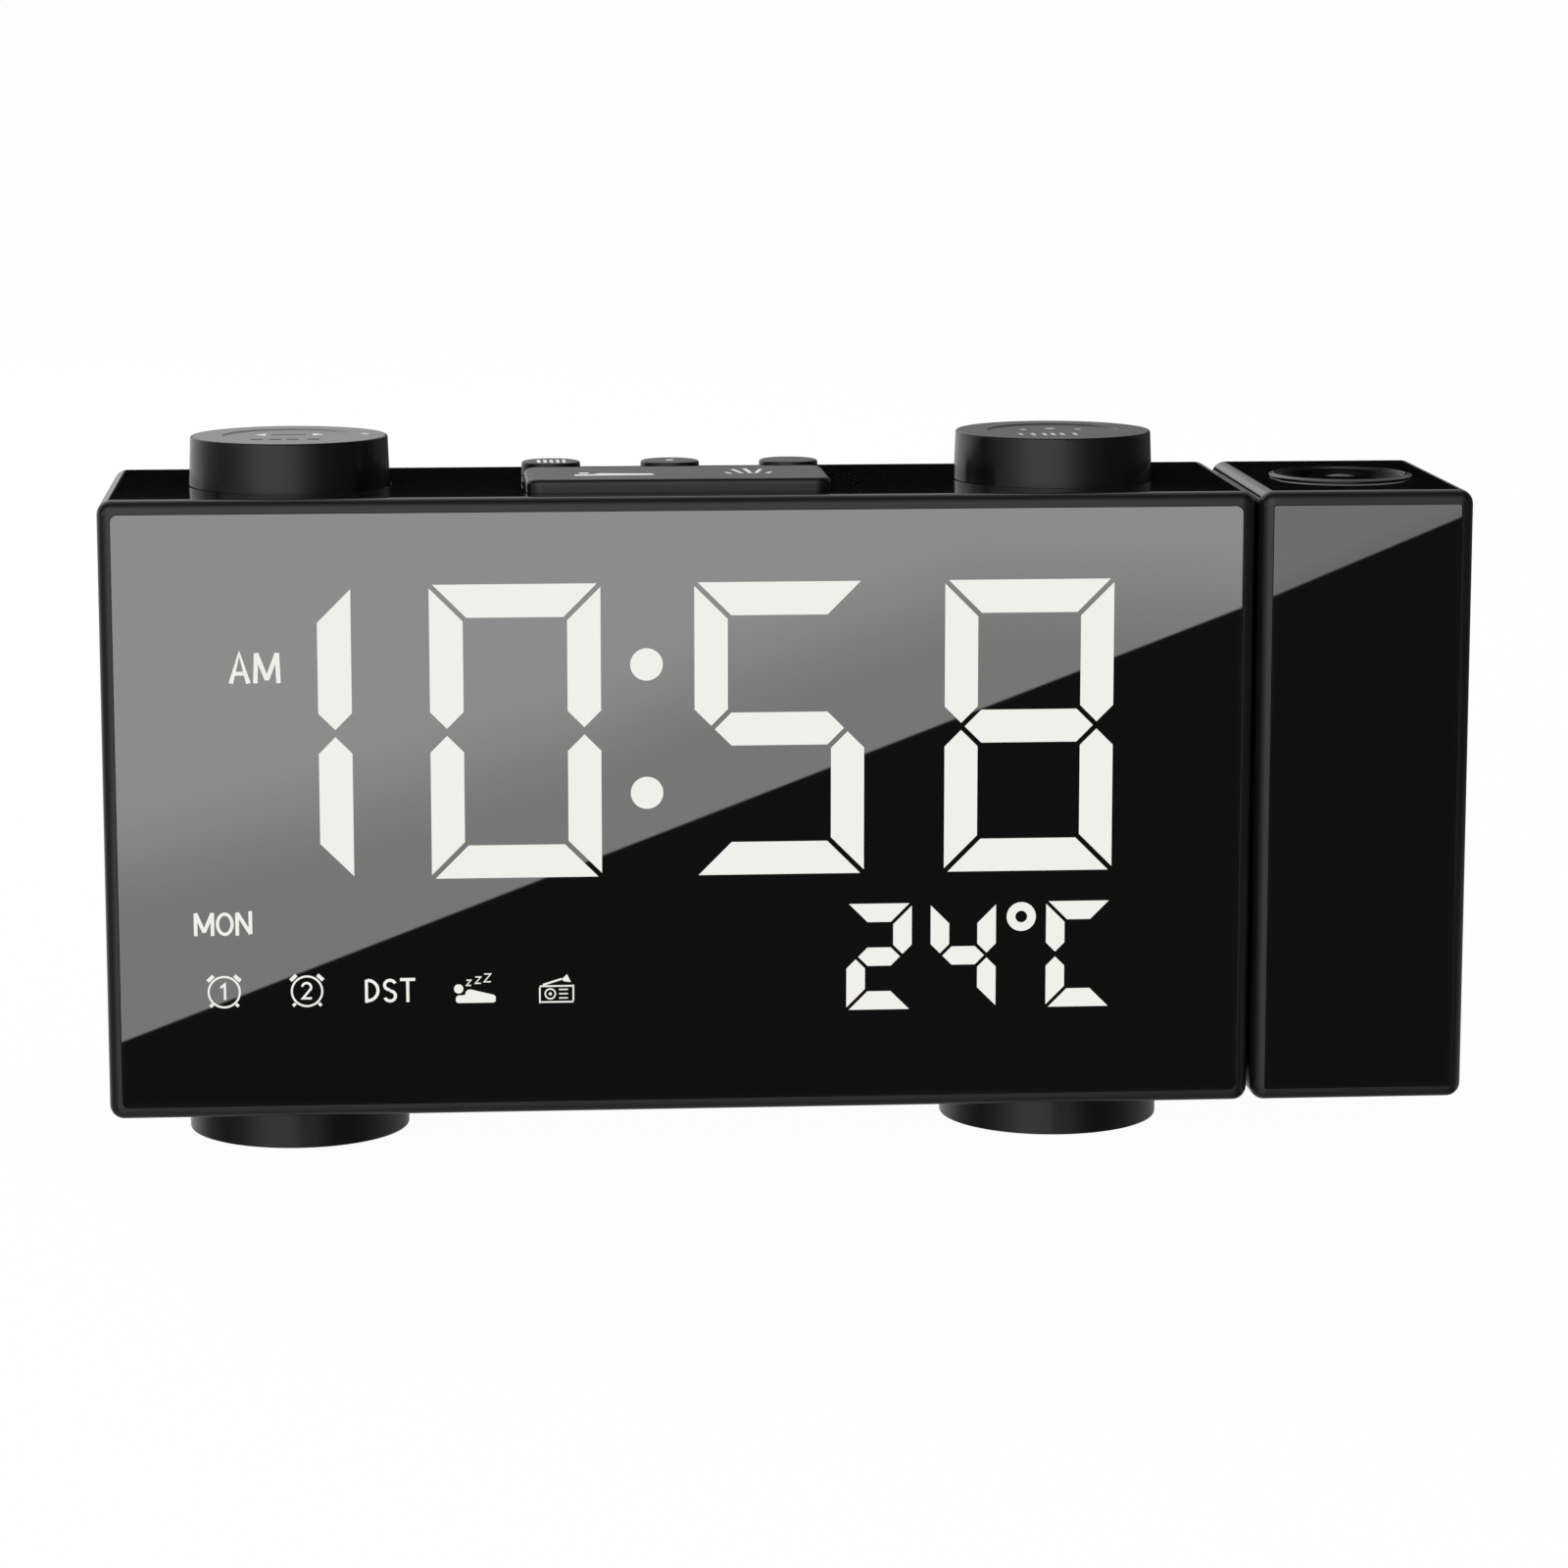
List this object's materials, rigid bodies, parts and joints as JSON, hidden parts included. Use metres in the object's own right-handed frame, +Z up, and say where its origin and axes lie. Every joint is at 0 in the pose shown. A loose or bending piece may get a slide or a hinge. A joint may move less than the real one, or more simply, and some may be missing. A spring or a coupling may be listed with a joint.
{
  "type": "projection alarm clock",
  "caption": "Mirror-fronted LED alarm clock with top knobs, snooze bar and keys, and a projector head that swings on a friction hinge.",
  "frame": {"origin": "on the table, under the middle of the whole clock", "axes": "+X to the reader's right, along the hinge; +Y away from the reader; +Z up"},
  "size_m": [0.19, 0.0426, 0.0992],
  "materials": {
    "black_gloss": "polished black, fine moulding marks",
    "black_satin": "fine-grained black",
    "mirror_window": "dark acrylic with a mirror gloss",
    "diffuser_white": "milky",
    "reflector_black": "matt",
    "screw_steel": "zinc plated",
    "led_body": "clear resin over phosphor",
    "board_green": "solder mask",
    "chip_black": "moulded epoxy",
    "plunger_cream": "nylon",
    "encoder_metal": "die cast",
    "contact_gold": "plated spring strip",
    "rubber": "dull",
    "speaker_steel": "pressed",
    "paper_black": "paper pulp",
    "socket_steel": "nickel plated",
    "cell_steel": "bright",
    "bead_epoxy": "dipped",
    "washer_nylon": "waxy",
    "axle_alloy": "turned",
    "spring_steel": "blued",
    "lcd_glass": "polariser film",
    "lens_clear": "coated",
    "lead_jacket": "sleeve"
  },
  "bodies": {
    "case": {"main_housing": "black_gloss", "rear_cover": "black_satin", "case_screws": "screw_steel", "display_window": "mirror_window", "segment_diffusers": "diffuser_white", "display_reflector": "reflector_black", "display_leds": "led_body", "main_board": "board_green", "control_chip": "chip_black", "key_board": "board_green", "tact_switches": "chip_black", "left_encoder": "encoder_metal", "right_encoder": "encoder_metal", "left_foot": "black_satin", "right_foot": "black_satin", "foot_pads": "rubber", "speaker_basket": "speaker_steel", "speaker_cone": "paper_black", "power_board": "board_green", "power_jack": "chip_black", "usb_socket": "socket_steel", "battery_contacts": "contact_gold", "coin_cell": "cell_steel", "battery_door": "black_satin", "door_screw": "screw_steel", "thermistor": "bead_epoxy", "slip_washer": "washer_nylon", "thrust_washer": "washer_nylon"},
    "projector": {"projector_housing": "black_gloss", "projector_rear_cover": "black_satin", "projector_screws": "screw_steel", "projector_window": "mirror_window", "pivot_axle": "axle_alloy", "wave_washer": "spring_steel", "retaining_nut": "axle_alloy", "optic_tube": "reflector_black", "lcd_panel": "lcd_glass", "condenser_lens": "lens_clear", "projector_led": "led_body", "projector_board": "board_green", "projector_lead": "lead_jacket"},
    "focus": {"focus_ring": "black_satin"},
    "lens": {"lens_barrel": "reflector_black", "projection_lens": "lens_clear"},
    "snooze": {"snooze_bar": "black_satin", "snooze_plungers": "plunger_cream"},
    "left_key": {"left_button": "black_satin", "left_button_plunger": "plunger_cream"},
    "middle_key": {"middle_button": "black_satin", "middle_button_plunger": "plunger_cream"},
    "right_key": {"right_button": "black_satin", "right_button_plunger": "plunger_cream"},
    "left_press": {"left_push_disc": "plunger_cream"},
    "left_dial": {"left_encoder_shaft": "encoder_metal", "left_knob": "black_satin"},
    "right_press": {"right_push_disc": "plunger_cream"},
    "right_dial": {"right_encoder_shaft": "encoder_metal", "right_knob": "black_satin"}
  },
  "joints": [
    {"name": "projector_swing", "type": "hinge", "parent": "case", "child": "projector", "pos_m": [0.0649, 0, 0.04915], "axis": [1, 0, 0], "range_deg": [-90, 90]},
    {"name": "focus_turn", "type": "hinge", "parent": "projector", "child": "focus", "pos_m": [0.07995, 0, 0.0923], "axis": [0, 0, 1], "range_deg": [-60, 60]},
    {"name": "lens_slide", "type": "slide", "parent": "projector", "child": "lens", "axis": [0, 0, 1], "range_m": [-0.00105, 0.00105]},
    {"name": "snooze_press", "type": "slide", "parent": "case", "child": "snooze", "axis": [0, 0, -1], "range_m": [0, 0.0008], "stiffness_N_per_m": 1500, "springref_m": -0.0003},
    {"name": "left_key_press", "type": "slide", "parent": "case", "child": "left_key", "axis": [0, 0, -1], "range_m": [0, 0.0006], "stiffness_N_per_m": 1500, "springref_m": -0.0003},
    {"name": "middle_key_press", "type": "slide", "parent": "case", "child": "middle_key", "axis": [0, 0, -1], "range_m": [0, 0.0006], "stiffness_N_per_m": 1500, "springref_m": -0.0003},
    {"name": "right_key_press", "type": "slide", "parent": "case", "child": "right_key", "axis": [0, 0, -1], "range_m": [0, 0.0006], "stiffness_N_per_m": 1500, "springref_m": -0.0003},
    {"name": "left_knob_press", "type": "slide", "parent": "case", "child": "left_press", "axis": [0, 0, -1], "range_m": [0, 0.0005], "stiffness_N_per_m": 3000, "springref_m": -0.0003},
    {"name": "left_knob_turn", "type": "hinge", "parent": "left_press", "child": "left_dial", "pos_m": [-0.0692, 0, 0.0923], "axis": [0, 0, 1], "continuous": true},
    {"name": "right_knob_press", "type": "slide", "parent": "case", "child": "right_press", "axis": [0, 0, -1], "range_m": [0, 0.0005], "stiffness_N_per_m": 3000, "springref_m": -0.0003},
    {"name": "right_knob_turn", "type": "hinge", "parent": "right_press", "child": "right_dial", "pos_m": [0.0386, 0, 0.0923], "axis": [0, 0, 1], "continuous": true}
  ],
  "couplings": [
    {"joint": "focus_turn", "follows": "lens_slide", "rad_per_m": 1000}
  ]
}
